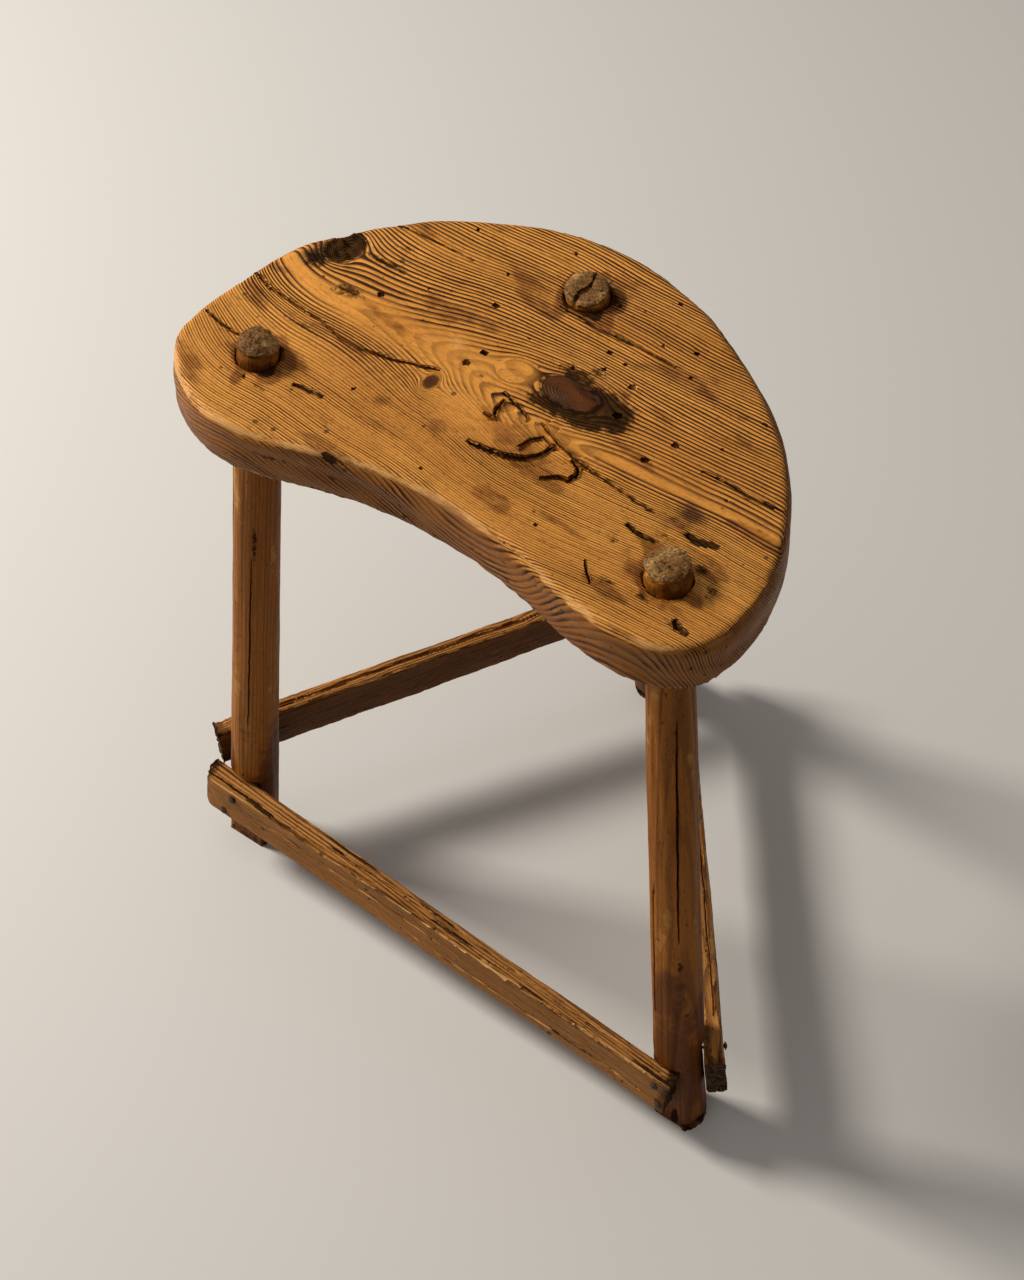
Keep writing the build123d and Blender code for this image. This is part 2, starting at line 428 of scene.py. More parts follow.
summer = g.math("MULTIPLY", g.math("MULTIPLY", rise, fall), strength)
summer = g.math("MULTIPLY", summer, g.span(streaks, 0.2, 0.75, 0.7, 1.15))
summer = g.math("MINIMUM", summer, 1.0)
tone = g.noise(given["Fibre"], (7, 24, 24), detail=2.0)
wood = g.mix(g.span(tone, 0.3, 0.7), g.mix(1.0, given["Spring wood"], (0.80, 0.74, 0.66, 1), "MULTIPLY"),
             given["Spring wood"])
wood = g.mix(summer, wood, given["Summer wood"])
streak_tone = g.mix(g.span(streaks, 0.25, 0.75), (0.80, 0.76, 0.70, 1), (1.1, 1.08, 1.04, 1))
wood = g.mix(1.0, wood, streak_tone, "MULTIPLY")
pore = g.noise(given["Fibre"], (240, 2400, 2400), detail=2.0)
pore = g.math("MULTIPLY", g.span(pore, 0.60, 0.72), given["Pores"])
wood = g.mix(pore, wood, (0.028, 0.013, 0.006, 1))
height = g.math("MULTIPLY_ADD", summer, 0.55, g.math("MULTIPLY", streaks, 0.35))
height = g.math("SUBTRACT", height, g.math("MULTIPLY", pore, 0.7))
g.fill(out, {"Color": wood, "Summer": summer, "Height": height})

# %% [markdown]
# ## Old dirt and wear, and painted shade
# Dirt has gathered where hands and cloth don't reach, resin has bled dark red round the knots, corners are
# rubbed pale, and beetles and nails have left small dark specks. The same dark masks also carry painted
# shade:
# inside cracks and holes, on the seat's sides and underside, and on the rails' inner faces. Each is a mask
# that the shape's own points carry. The group breaks the masks' edges up with noise, so that none of them
# looks sprayed on.

# %% Dirt, wear and painted shade group
dirt, g, given, out = group(
    "Dirt and wear",
    [("Color", "Color"), ("Place", "Vector"), ("Char", "Float"), ("Resin", "Float"), ("Grime", "Float"),
     ("Rubbed", "Float"), ("Specks", "Float"), ("Rubbed wood", "Color")],
    [("Color", "Color"), ("Roughness", "Float"), ("Height", "Float"), ("Gloss", "Float")])
ragged = g.noise(given["Place"], (260, 330, 330), detail=6.0, roughness=0.65)
coarse = g.noise(given["Place"], (70, 110, 110), detail=4.0, roughness=0.6)


def broken(mask, by, amount=0.9):
    """A mask with its edge broken up by noise, and nothing where the mask is nothing."""
    spread = g.math("MULTIPLY_ADD", mask, -1.2 * amount, 2 * amount)
    edge = g.math("MULTIPLY_ADD", g.math("SUBTRACT", by, 0.5), spread, mask)
    return g.math("MULTIPLY", g.span(edge, 0.35, 0.75), g.span(mask, 0.0, 0.2))


rubbed = broken(given["Rubbed"], coarse)
colour = g.mix(g.math("MULTIPLY", rubbed, 0.75), given["Color"], given["Rubbed wood"])
resin = broken(given["Resin"], coarse, 0.5)
resin_tone = g.mix(g.span(coarse, 0.35, 0.65), (0.008, 0.003, 0.002, 1), (0.062, 0.011, 0.004, 1))
colour = g.mix(g.math("MULTIPLY", resin, 0.9), colour, resin_tone)
# Real dirt and painted shade: this mask darkens the colour, also on the seat's sides and underside and the
# rails' inner faces.
grime = broken(given["Grime"], coarse, 0.7)
colour = g.mix(g.math("MULTIPLY", grime, 0.75), colour, g.mix(1.0, colour, (0.30, 0.20, 0.11, 1), "MULTIPLY"))
# Real char and stains, and painted shade: this mask paints near-black, also inside cracks and holes and under
# the scales' steps.
char = broken(given["Char"], ragged)
colour = g.mix(g.math("MULTIPLY", char, 0.93), colour, (0.016, 0.008, 0.004, 1))
cells = g.add("ShaderNodeTexVoronoi", {"Vector": given["Place"], "Scale": 115.0})
draw = g.math("FRACT", g.math("MULTIPLY", cells.outputs["Color"], 7.0))
size = g.math("MULTIPLY", g.math("SUBTRACT", g.math("POWER", draw, 5.0), 0.25), 0.3)    # few are large
fleck = g.span(g.math("SUBTRACT", size, cells.outputs["Distance"]), -0.03, 0.05)
fleck = g.math("MULTIPLY", fleck, given["Specks"])
colour = g.mix(fleck, colour, (0.03, 0.014, 0.007, 1))
roughness = g.math("MULTIPLY_ADD", ragged, 0.18, 0.40)
roughness = g.math("MULTIPLY_ADD", char, 0.22, roughness)
roughness = g.math("MULTIPLY_ADD", resin, -0.14, roughness)
relief = g.math("MULTIPLY_ADD", char, g.math("SUBTRACT", ragged, 0.9), g.math("MULTIPLY", fleck, -0.8))
relief = g.math("MULTIPLY_ADD", ragged, 0.25, relief)
gloss = g.math("MULTIPLY_ADD", char, -0.95, 1.0)
g.fill(out, {"Color": colour, "Roughness": roughness, "Height": relief, "Gloss": gloss})


# %% Wood finishes
def wood_finish(name, spring, summer, rubbed, contrast, pores, specks, end, sheen=0.1):
    """A finish of old wood: grain, end grain where it was sawn, dirt and wear with painted shade, and a fine
    relief.
    """
    finish = bpy.data.materials.new(name)
    finish.use_nodes = True
    r = Recipe(finish.node_tree)
    place = r.add("ShaderNodeTexCoord").outputs["Object"]
    contrast_here = r.math("MULTIPLY", r.math("SUBTRACT", 1.0, r.attribute("faint")), contrast)
    lines = r.add("ShaderNodeGroup", node_tree=grain)
    r.fill(lines, {"Rings": r.attribute("rings"), "Fibre": r.attribute("fibre", "Vector"),
                   "Contrast": contrast_here, "Pores": pores, "Spring wood": spring, "Summer wood": summer})
    sawn = r.attribute("sawn")
    crumbs = r.noise(place, (620, 620, 620), detail=5.0, roughness=0.7)
    end_tone = r.mix(r.span(crumbs, 0.34, 0.56), (0.035, 0.022, 0.012, 1), end)
    end_tone = r.mix(r.math("MULTIPLY", lines.outputs["Summer"], 0.5), end_tone, (0.05, 0.032, 0.02, 1))
    body = r.mix(r.math("MULTIPLY", sawn, 0.85), lines.outputs["Color"], end_tone)
    wear = r.add("ShaderNodeGroup", node_tree=dirt)
    r.fill(wear, {"Color": body, "Place": place, "Specks": specks, "Rubbed wood": rubbed})
    r.fill(wear, {mask: r.attribute(mask.lower()) for mask in ("Char", "Resin", "Grime", "Rubbed")})
    height = r.math("ADD", lines.outputs["Height"], wear.outputs["Height"])
    height = r.math("MULTIPLY_ADD", r.math("MULTIPLY", sawn, crumbs), 1.6, height)
    bump = r.add("ShaderNodeBump", {"Height": height, "Strength": 0.9, "Distance": 0.45 * MM})
    r.fill(finish.node_tree.nodes["Principled BSDF"], {
        "Base Color": wear.outputs["Color"], "Roughness": wear.outputs["Roughness"],
        "Specular IOR Level": r.math("MULTIPLY", wear.outputs["Gloss"], sheen),
        "Normal": bump.outputs["Normal"]})
    return finish


seat_finish = wood_finish(
    "Seat pine", (0.76, 0.335, 0.062, 1), (0.050, 0.014, 0.003, 1), (0.72, 0.37, 0.12, 1),
    contrast=1.4, pores=0.5, specks=0.7, end=(0.16, 0.12, 0.08, 1), sheen=0.16)
leg_finish = wood_finish(
    "Leg wood", (0.36, 0.127, 0.010, 1), (0.13, 0.038, 0.004, 1), (0.50, 0.23, 0.045, 1),
    contrast=0.5, pores=0.9, specks=0.9, end=(0.50, 0.29, 0.10, 1))
rail_finish = wood_finish(
    "Rail wood", (0.50, 0.225, 0.058, 1), (0.075, 0.026, 0.008, 1), (0.68, 0.38, 0.14, 1),
    contrast=1.0, pores=0.9, specks=0.8, end=(0.20, 0.13, 0.07, 1))
print("finishes:", seat_finish.name, leg_finish.name, rail_finish.name)

# %% [markdown]
# ## The seat
# The plank was sawn from near the heart of a pine. The heart runs just under its top, so the rings come up
# through the top as long pointed arches there and as close straight lines further off. Branches left knots,
# and the fibres run round a knot as water runs round a stone, which is how they are worked out here.

# %% Where things are on the seat
seat_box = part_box("seat_plank")
seat_middle = (np.array(seat_box[0]) + np.array(seat_box[1])) / 2 / MM
seat_top = seat_box[1][2] / MM
seat_under = seat_box[0][2] / MM


def on_seat(x, y):
    """A place on the sitting face, in metres, from millimetres right of and behind its middle."""
    return Vector((seat_middle[0] + x, seat_middle[1] + y, seat_top)) * MM


def section_centre(node, height):
    """The middle of a leg at a height in millimetres, as an array in millimetres."""
    shape = copy_of(node)
    everything = shape.verts[:] + shape.edges[:] + shape.faces[:]
    sliced = bmesh.ops.bisect_plane(shape, geom=everything, plane_co=(0, 0, height * MM), plane_no=(0, 0, 1))
    ring = [g.co for g in sliced["geom_cut"] if isinstance(g, bmesh.types.BMVert)]
    centre = (Vector(map(min, zip(*ring))) + Vector(map(max, zip(*ring)))) / 2
    shape.free()
    return np.array(centre) / MM


leg_names = ("left_leg", "right_leg", "back_leg")
tenon_centre = {name: section_centre(name, seat_top + 1) for name in leg_names}
print("tenons come through at", {name: place.round(1).tolist() for name, place in tenon_centre.items()})

# %% Rings and fibres of the seat
knots = {"edge knot": ((-153, 28), (12, 13)), "red knot": ((25, 8), (20, 12)),
         "small knot": ((-45, -30), (4.5, 6.5)), "swirl": ((-12, 4), (9, 8))}
seat_grid, stick_grid, wedge_grid = 2.4 * MM, 1.35 * MM, 0.6 * MM    # how fine each kind of piece is
heart_y = -14.0
heart_deep, heart_shallow = 38.0, 7.0    # how far the heart is below the top at the left and at the right
ring_width = 2.3


def seat_grain(points):
    """The ring number of each point, and its place along and across the fibres."""
    x, y = points[:, 0] - seat_middle[0], points[:, 1] - seat_middle[1]
    depth = seat_top - points[:, 2]
    bent = y - 0.0045 * np.clip(-125 - x, 0, None) ** 2 + 1.6 * np.sin(x / 31) + 3.0 * np.sin(x / 83 + 0.6)
    bent += 1.2 * ripple(points, (60, 30, 200), 3)
    knot_rings = np.zeros(len(points))
    for name, (centre, size) in knots.items():
        across, above = (x - centre[0]) / size[0], (y - centre[1]) / size[1]
        away = np.hypot(across, above)
        bent -= (y - centre[1]) / np.clip(away, 1, None) ** 2
        if name != "swirl":
            knot_rings = np.where(away < 1, away * size[1] / 1.3 + 0.3, knot_rings)
    off = bent - heart_y
    deep = depth + heart_deep + (heart_shallow - heart_deep) * ease(x, -125, 75)
    rings = np.hypot(off, deep) / (ring_width * (1 - 0.32 * ease(-off, -12, 26)))
    rings = np.where(knot_rings > 0, knot_rings, rings)
    fibre = np.stack([x, bent, points[:, 2]], axis=1) * MM
    return rings, fibre


# %% [markdown]
# ## Cracks, worm holes and flakes
# The long drying crack follows the fibres in from the left edge. In front of the red knot the wood has lifted
# in scales with deep cracks under their edges. These are real cuts in the mesh, made by blades that are thin
# at their ends. Worm holes are small tapered plugs taken out of the plank.

# %% The marks on the seat
long_crack = [(-188, -16), (-168, -24), (-148, -27), (-128, -28), (-108, -33), (-93, -33), (-73, -29),
              (-58, -24), (-47, -20)]
flake_cracks = {
    "crescent": ([(39, -29), (38, -38), (32, -46), (21, -51), (9, -54), (-1, -54)], 2.2, 5.0),
    "claw": ([(24, -41), (26, -34), (31, -28), (37, -30)], 1.0, 2.4),
    "hook": ([(54, -33), (60, -35), (62, -40), (60, -46), (55, -47), (47, -53)], 1.7, 3.6),
    "upper": ([(-6, -13), (4, -16), (15, -21)], 0.8, 2.2),
    "inner": ([(-3, -18), (-3, -25), (0, -31), (-6, -32)], 0.6, 1.6),
    "seam": ([(24, -20), (41, -27), (56, -31), (84, -35), (112, -38)], 0.6, 1.4),
}
other_cracks = {
    "tenon split": ([(104, -53), (113, -55), (123, -55)], 2.4, 4.0),
    "gouge": ([(-107, -77), (-98, -76), (-88, -75)], 1.6, 1.6),
    "streak": ([(-143, 62), (-118, 63), (-84, 63)], 0.8, 1.5),
    "old cut": ([(100, -87), (106, -94), (111, -98)], 0.9, 1.2),
    "edge notch": ([(-60, -108), (-53, -109), (-46, -110)], 3.4, 3.0),
    "chip": ([(161, -93), (165, -96), (170, -97)], 2.6, 1.8),
    "back chip": ([(63, 105), (66, 109), (69, 111)], 2.0, 1.6),
    "side check": ([(-186, -60), (-176, -63), (-160, -65), (-150, -65)], 0.6, 1.5),
    "right check": ([(168, 4), (150, 2), (128, 3), (117, 2)], 0.6, 2.0),
    "back check": ([(-20, 62), (8, 60), (36, 61), (60, 60)], 0.6, 2.0),
    "deep gouge": ([(134, -40), (141, -41), (152, -38)], 4.0, 2.4),
}
worm_holes = [(-51, 41, 4.0), (-34, 6, 4.0), (-38, -6, 4.6), (-111, 9, 3.8), (50, 33, 4.2), (55, 10, 5.6),
              (94, 10, 5.0), (86, -9, 4.4), (29, 35, 2.0), (24, 48, 3.0), (37, 45, 1.6), (65, 76, 2.2),
              (36, 104, 2.0), (-38, 104, 2.2), (64, -82, 1.6), (1, -107, 1.8), (-97, 86, 1.8), (117, 22, 1.8),
              (-77, -60, 1.8), (73, 58, 1.6), (-60, 66, 1.6), (126, 52, 2.0), (8, 82, 1.6), (-10, -86, 1.5),
              (-134, -88, 1.6), (46, 70, 1.6), (139, -8, 1.5), (-91, 30, 1.5), (14, 26, 1.6), (-20, 30, 1.4)]

# Each row is x, y, width, height and strength. The char is sorted by how soft its edges are.
char_stains = {
    0.5: [(-153, 30, 12, 16, 1.0), (40, 6, 18, 17, 1.0)],
    0.6: [(22, -5, 20, 7, 0.8)],
    0.7: [(-161, 12, 9, 11, 0.7), (20, 22, 15, 7, 0.75), (-53, -108, 9, 3, 0.7)],
    0.8: [(54, 8, 13, 13, 0.95), (-123, 32, 20, 3, 0.7), (-128, 1, 11, 4, 0.75), (163, -96, 7, 3, 0.6),
          (60, 4, 8, 9, 0.75), (45, -6, 10, 5, 0.7)],
    0.9: [(-121, 48, 9, 3, 0.55), (127, -48, 10, 4, 0.5), (149, -64, 4, 3, 0.7), (104, -66, 3, 4, 0.6),
          (118, -93, 6, 2, 0.5), (95, -64, 2, 7, 0.5), (-25, -10, 4, 2, 0.6), (86, -9, 4, 3, 0.6),
          (154, -56, 5, 4, 0.75), (166, -65, 5, 7, 0.6), (139, -89, 9, 4, 0.6), (117, -92, 8, 3, 0.6),
          (-130, -4, 9, 3, 0.6), (-166, -67, 6, 3, 0.5), (82, 96, 14, 3, 0.55),
          (-126, -89, 14, 3, 0.5), (-130, -38, 20, 2.5, 0.55), (27, 31, 8, 5, 0.6),
          (65, 79, 8, 3, 0.4), (8, 105, 12, 3, 0.4), (108, 55, 12, 4, 0.35)],
}
resin_stains = [(129, -27, 14, 9, 0.7), (126, -37, 9, 6, 0.55), (-163, 12, 9, 7, 0.8),
                (-141, 18, 6, 9, 0.5), (138, -46, 8, 5, 0.5), (-17, -56, 9, 6, 0.35),
                (-30, -44, 10, 9, 0.3), (132, -78, 17, 9, 0.35), (51, 24, 10, 6, 0.5)]
grime_stains = [(-8, 80, 30, 20, 0.45), (120, 30, 40, 10, 0.3), (-100, -40, 50, 8, 0.35),
                (20, -36, 30, 17, 0.62), (-75, -62, 12, 5, 0.4), (-125, -92, 24, 8, 0.35),
                (60, -12, 30, 10, 0.25), (-15, -45, 26, 22, 0.4), (4, 98, 14, 11, 0.6),
                (84, 68, 14, 7, 0.5), (113, 50, 7, 5, 0.6), (-58, -59, 6, 6, 0.6),
                (-1, -91, 14, 9, 0.5), (-24, -56, 15, 14, 0.5), (55, 8, 24, 22, 0.5),
                (-128, -34, 40, 7, 0.5), (150, -70, 16, 18, 0.6), (128, -38, 22, 9, 0.6),
                (112, -70, 12, 14, 0.5), (-150, 60, 30, 8, 0.45), (-100, 98, 30, 14, 0.4)]
pale_stretches = [(-10, -38, 34, 22, 0.75), (25, -34, 40, 20, 0.6), (-30, -8, 22, 16, 0.6),
                  (-45, -6, 45, 20, 0.72), (-12, 4, 15, 13, 0.8)]


def wavy(run, seed, sway=0.45, step=3.5):
    """A run of points with short steps that wander a little from side to side, as a crack does."""
    rng = np.random.default_rng(seed)
    found = []
    for a, b in zip(run[:-1], run[1:]):
        count = max(1, round(math.dist(a, b) / step))
        for i in range(count):
            share = i / count
            found.append([a[0] + (b[0] - a[0]) * share, a[1] + (b[1] - a[1]) * share])
    found.append(list(run[-1]))
    for place in found[1:-1]:
        place[0] += rng.uniform(-sway, sway) * 0.5
        place[1] += rng.uniform(-sway, sway)
    return found


# %% Cut the seat
seat = piece_from(copy_of("seat_plank"), "Seat")
remesh(seat, seat_grid)
fine = bmesh.new()
fine.from_mesh(seat.data)
level = [f for f in fine.faces if f.calc_center_median().z > (seat_top - 4.5) * MM]    # the top is finer
edges = {edge for face in level for edge in face.edges}
bmesh.ops.subdivide_edges(fine, edges=list(edges), cuts=1, use_grid_fill=True)
fine.to_mesh(seat.data)
fine.free()

seat_cracks = {"long": (long_crack, 0.95, 9.0), **flake_cracks, **other_cracks}
for seed, (name, (run, width, depth)) in enumerate(seat_cracks.items(), start=12):
    run = [on_seat(*place) for place in wavy(run, seed)]
    cut(seat, cutters(name, lambda shape: crack(shape, run, width * MM, depth * MM)))
rng = np.random.default_rng(5)
for x, y, across in worm_holes:
    lean = rng.uniform(-0.3, 0.3, 2)
    cut(seat, cutters("worm", lambda shape: hole(shape, on_seat(x, y), across * MM, (2 + across) * MM, lean)))
print("seat after cutting:", len(seat.data.polygons), "faces")

# %% [markdown]
# ## Wear on the seat
# Long use has hollowed the plank in shallow waves, rounded its edges and left the scales standing in steps.
# Every move goes inwards from the plank's own surface.

# %% Wear the seat
def seat_marks(points, normals):
    """The masks of the seat by name, and how deep each point is worn, in millimetres."""
    here = points[:, :2] - seat_middle[:2]
    up = normals[:, 2]
    on_top = ease(up, 0.3, 0.7) * ease(points[:, 2], seat_top - 9, seat_top - 3)
    rough = ripple(points, (4, 3, 3), 21)
    blotch = ripple(points, (22, 10, 10), 22)
    char = np.zeros(len(points))
    for soft, table in char_stains.items():
        char = stained(here, char, table, soft)
    # Painted shade: each worm hole is darkened inside.
    for x, y, across in worm_holes:
        char = np.maximum(char, 0.8 * spot(here, (x, y), (across * 0.40,) * 2, 0.15))
    below = seat_top - points[:, 2]
    # Painted shade: each crack is darkened along its opening and down its walls.
    for run, width, depth in seat_cracks.values():
        near = distance_to(here, run) + 0.5 * rough
        char = np.maximum(char, 0.66 * (1 - ease(near - width * 0.5, -0.2, 0.7)))
        char = np.maximum(char, (1 - ease(near, 1.5, 3.0)) * ease(below, 0.1, 0.9))
    scale = spot(here, (26, -34), (36, 20), 0.25) * on_top
    away = np.hypot(here[:, 0] + 14, (here[:, 1] - 2) * 1.1) + 2.6 * ripple(points, (14, 10, 10), 25)
    terrace = (away / 11.0) % 1.0           # 0 to 1 across each lifted scale, 11 mm wide
    edge = ease(terrace, 0.84, 1.0) * ease(ripple(points, (12, 12, 12), 30), -0.6, 0.4)
    # Painted shade, partly dark cracks: a dark line where each lifted scale steps down.
    char = np.maximum(char, 0.6 * scale * edge)
    frayed = here + 1.3 * rough[:, None]
    core = spot(frayed, *knots["red knot"], 0.14)
    char *= 1 - 0.97 * spot(frayed, knots["red knot"][0], (17, 9.5), 0.16)
    resin = np.maximum(core, 0.75 * spot(here, *knots["small knot"], 0.3))
    resin = stained(here, resin, resin_stains, 0.8)
    grime = 0.6 * ease(ripple(points, (44, 10, 12), 23), 0.1, 1.1)
    grime = stained(here, grime, grime_stains, 0.9)
    snug = np.ones(len(points))
    stains = ripple(points, (12, 9, 9), 36)
    for place in tenon_centre.values():
        round_it = np.hypot(*(points[:, :2] - place[:2]).T)
        grime = np.maximum(grime, 1 - ease(round_it + 6 * stains, 15, 28))
        char = np.maximum(char, 0.8 * (1 - ease(round_it + 4 * stains, 12.5, 20)))
        snug = np.minimum(snug, ease(round_it, 14, 17))
    side = 1 - ease(np.abs(up), 0.25, 0.7)
    under = ease(-up, 0.3, 0.8)
    # Painted shade, partly dirt: the plank's sides and its underside are darkened through the grime mask.
    grime = np.where(on_top > 0.5, grime, np.maximum(side * (0.9 + 0.2 * blotch), 0.8 * under))
    char = char * ease(up, -0.2, 0.4)
    char = np.maximum(char, 0.5 * side * ease(ripple(points, (16, 6, 5), 24), 0.75, 1.3))
    rim = ease(up, 0.12, 0.45) * (1 - ease(up, 0.88, 0.995))
    # The pale rubbing is strongest on the front rim and weaker round the sides and back, so the right rim
    # keeps its painted shade.
    front = 0.3 + 0.7 * ease(-normals[:, 1], -0.1, 0.4)
    rubbed = rim * (0.72 + 0.45 * blotch) * front
    rubbed = np.maximum(rubbed, 0.33 * spot(here, (-62, 2), (46, 14), 0.8))
    # Painted shade: the rim that faces right, away from the lamp, is darkened.
    right_rim = ease(up, 0.12, 0.5) * (1 - ease(up, 0.9, 0.995)) * ease(normals[:, 0], 0.1, 0.5)
    grime = np.maximum(grime, 0.85 * right_rim)
    low_rim = ease(-up, 0.12, 0.45) * (1 - ease(-up, 0.88, 0.995))
    rubbed = np.maximum(rubbed, 0.45 * low_rim * (0.6 + 0.5 * blotch))
    faint = 0.75 * spot(here, (-95, -8), (48, 15), 0.5)
    faint = stained(here, faint, pale_stretches, 0.6)
    faint = np.maximum(faint, 0.38 * ease(-here[:, 1], 25, 50) * on_top)
    faint = faint * (1 - core) + 0.62 * core
    faint = np.maximum(faint, (0.5 + 0.2 * blotch) * side)
    depth = 0.45 * (1 + ripple(points, (75, 45, 60), 26)) + 0.16 * (1 + ripple(points, (16, 8, 8), 27))
    depth += 1.9 * scale * terrace ** 2 + 0.9 * char * (0.55 + 0.5 * rough) * on_top
    depth += 1.6 * on_top * spot(here, (-153, 29), (11, 14), 0.4) * (0.8 + 0.6 * rough)
    depth += rim * (0.6 + 0.6 * ripple(points, (26, 26, 12), 28)) + low_rim * (0.5 + 0.2 * rough)
    depth += side * (0.5 + 0.55 * ripple(points, (40, 40, 7), 29))
    masks = {"char": char, "resin": resin, "grime": grime, "rubbed": rubbed, "faint": faint}
    return masks, np.clip(depth, 0, 5) * snug


points, normals = points_of(seat), normals_of(seat)
rings, fibre = seat_grain(points)
masks, depth = seat_marks(points, normals)
flat_top = ease(normals[:, 2], 0.8, 0.97)
moved = points - normals * depth[:, None]
moved[:, :2] = np.where(flat_top[:, None] > 0.5, points[:, :2], moved[:, :2])
move_points(seat, moved, "seat_plank")
dress(seat, rings, fibre, **masks)
complete(seat, "seat_plank", seat_finish, crisp=38)
print("seat:", len(seat.data.vertices), "points, worn up to", round(float(depth.max()), 1), "mm")

# %% [markdown]
# ## The legs
# Each leg was shaved round from a split billet with a drawknife, so it is made of long shallow flats rather
# than being turned. Its top is a tenon driven through the plank. The ends stand proud and are all different:
# one is domed and pitted, one was sawn across in ridges, and the back one was split by a wedge.

# %% A leg's own directions
class Stick:
    """A long piece's own axes: a point on its middle line, the way along it, and two ways across it."""

    def __init__(self, base, along, hint):
        self.base = np.array(base)
        self.along = np.array(along) / np.linalg.norm(along)
        across = np.array(hint) - self.along * np.dot(hint, self.along)
        self.across = across / np.linalg.norm(across)
        self.out = np.cross(self.along, self.across)

    def measure(self, points):
        """Distance along, across and out from the middle line."""
        away = points - self.base
        return away @ self.along, away @ self.across, away @ self.out

    def place(self, along, across, out):
        """The point at those distances, in metres."""
        return Vector(self.base + self.along * along + self.across * across + self.out * out) * MM


def leg_stick(name):
    low, high = section_centre(name, 160), section_centre(name, seat_under - 20)
    run = (high - low) / (high - low)[2]
    return Stick(low - run * low[2], run, (1, 0, 0))


# %% The tenons' ends
def domed_end(a, b, radius, points):
    """Worn down towards its rim, with pits where the soft wood has rotted out."""
    pits = ease(ripple(points, (2.6, 2.6, 3), 31), 0.1, 1.0) * 1.2
    return 4.2 * (np.hypot(a, b) / radius) ** 2.6 + pits + 2.0 * ease(a + b, 4, 16)


def ridged_end(a, b, radius, points):
    """Sawn ridges across one half, and a lower torn half."""
    slant = a * 0.55 + b * 0.85
    ridges = 0.8 * (0.5 + 0.5 * np.sin(slant * 2 * math.pi / 3.1 + 0.8 * ripple(points, (6, 6, 6), 33)))
    torn = 0.9 * ease(ripple(points, (3, 3, 3), 32), -0.2, 1.0)
    half = ease(a - 0.35 * b, -1.5, 1.5)
    return 1.3 * ridges * (1 - half) + (1.6 + 1.4 * torn) * half + 2.4 * (np.hypot(a, b) / radius) ** 4


def split_end(a, b, radius, points):
    """Two cheeks on either side of an open split, one with fine ridges and one smooth."""
    ridges = 0.5 * (0.5 + 0.5 * np.sin(b * 2 * math.pi / 2.3 + ripple(points, (5, 5, 5), 34)))
    lip = 1.3 * np.exp(-(np.abs(a - 1) / 2.2) ** 2)
    return ridges * (a < 0) + 0.5 * (a > 0) + lip + 1.5 * (np.hypot(a, b) / radius) ** 4 + \
        0.5 * ease(ripple(points, (3, 3, 3), 35), 0.2, 1.0)


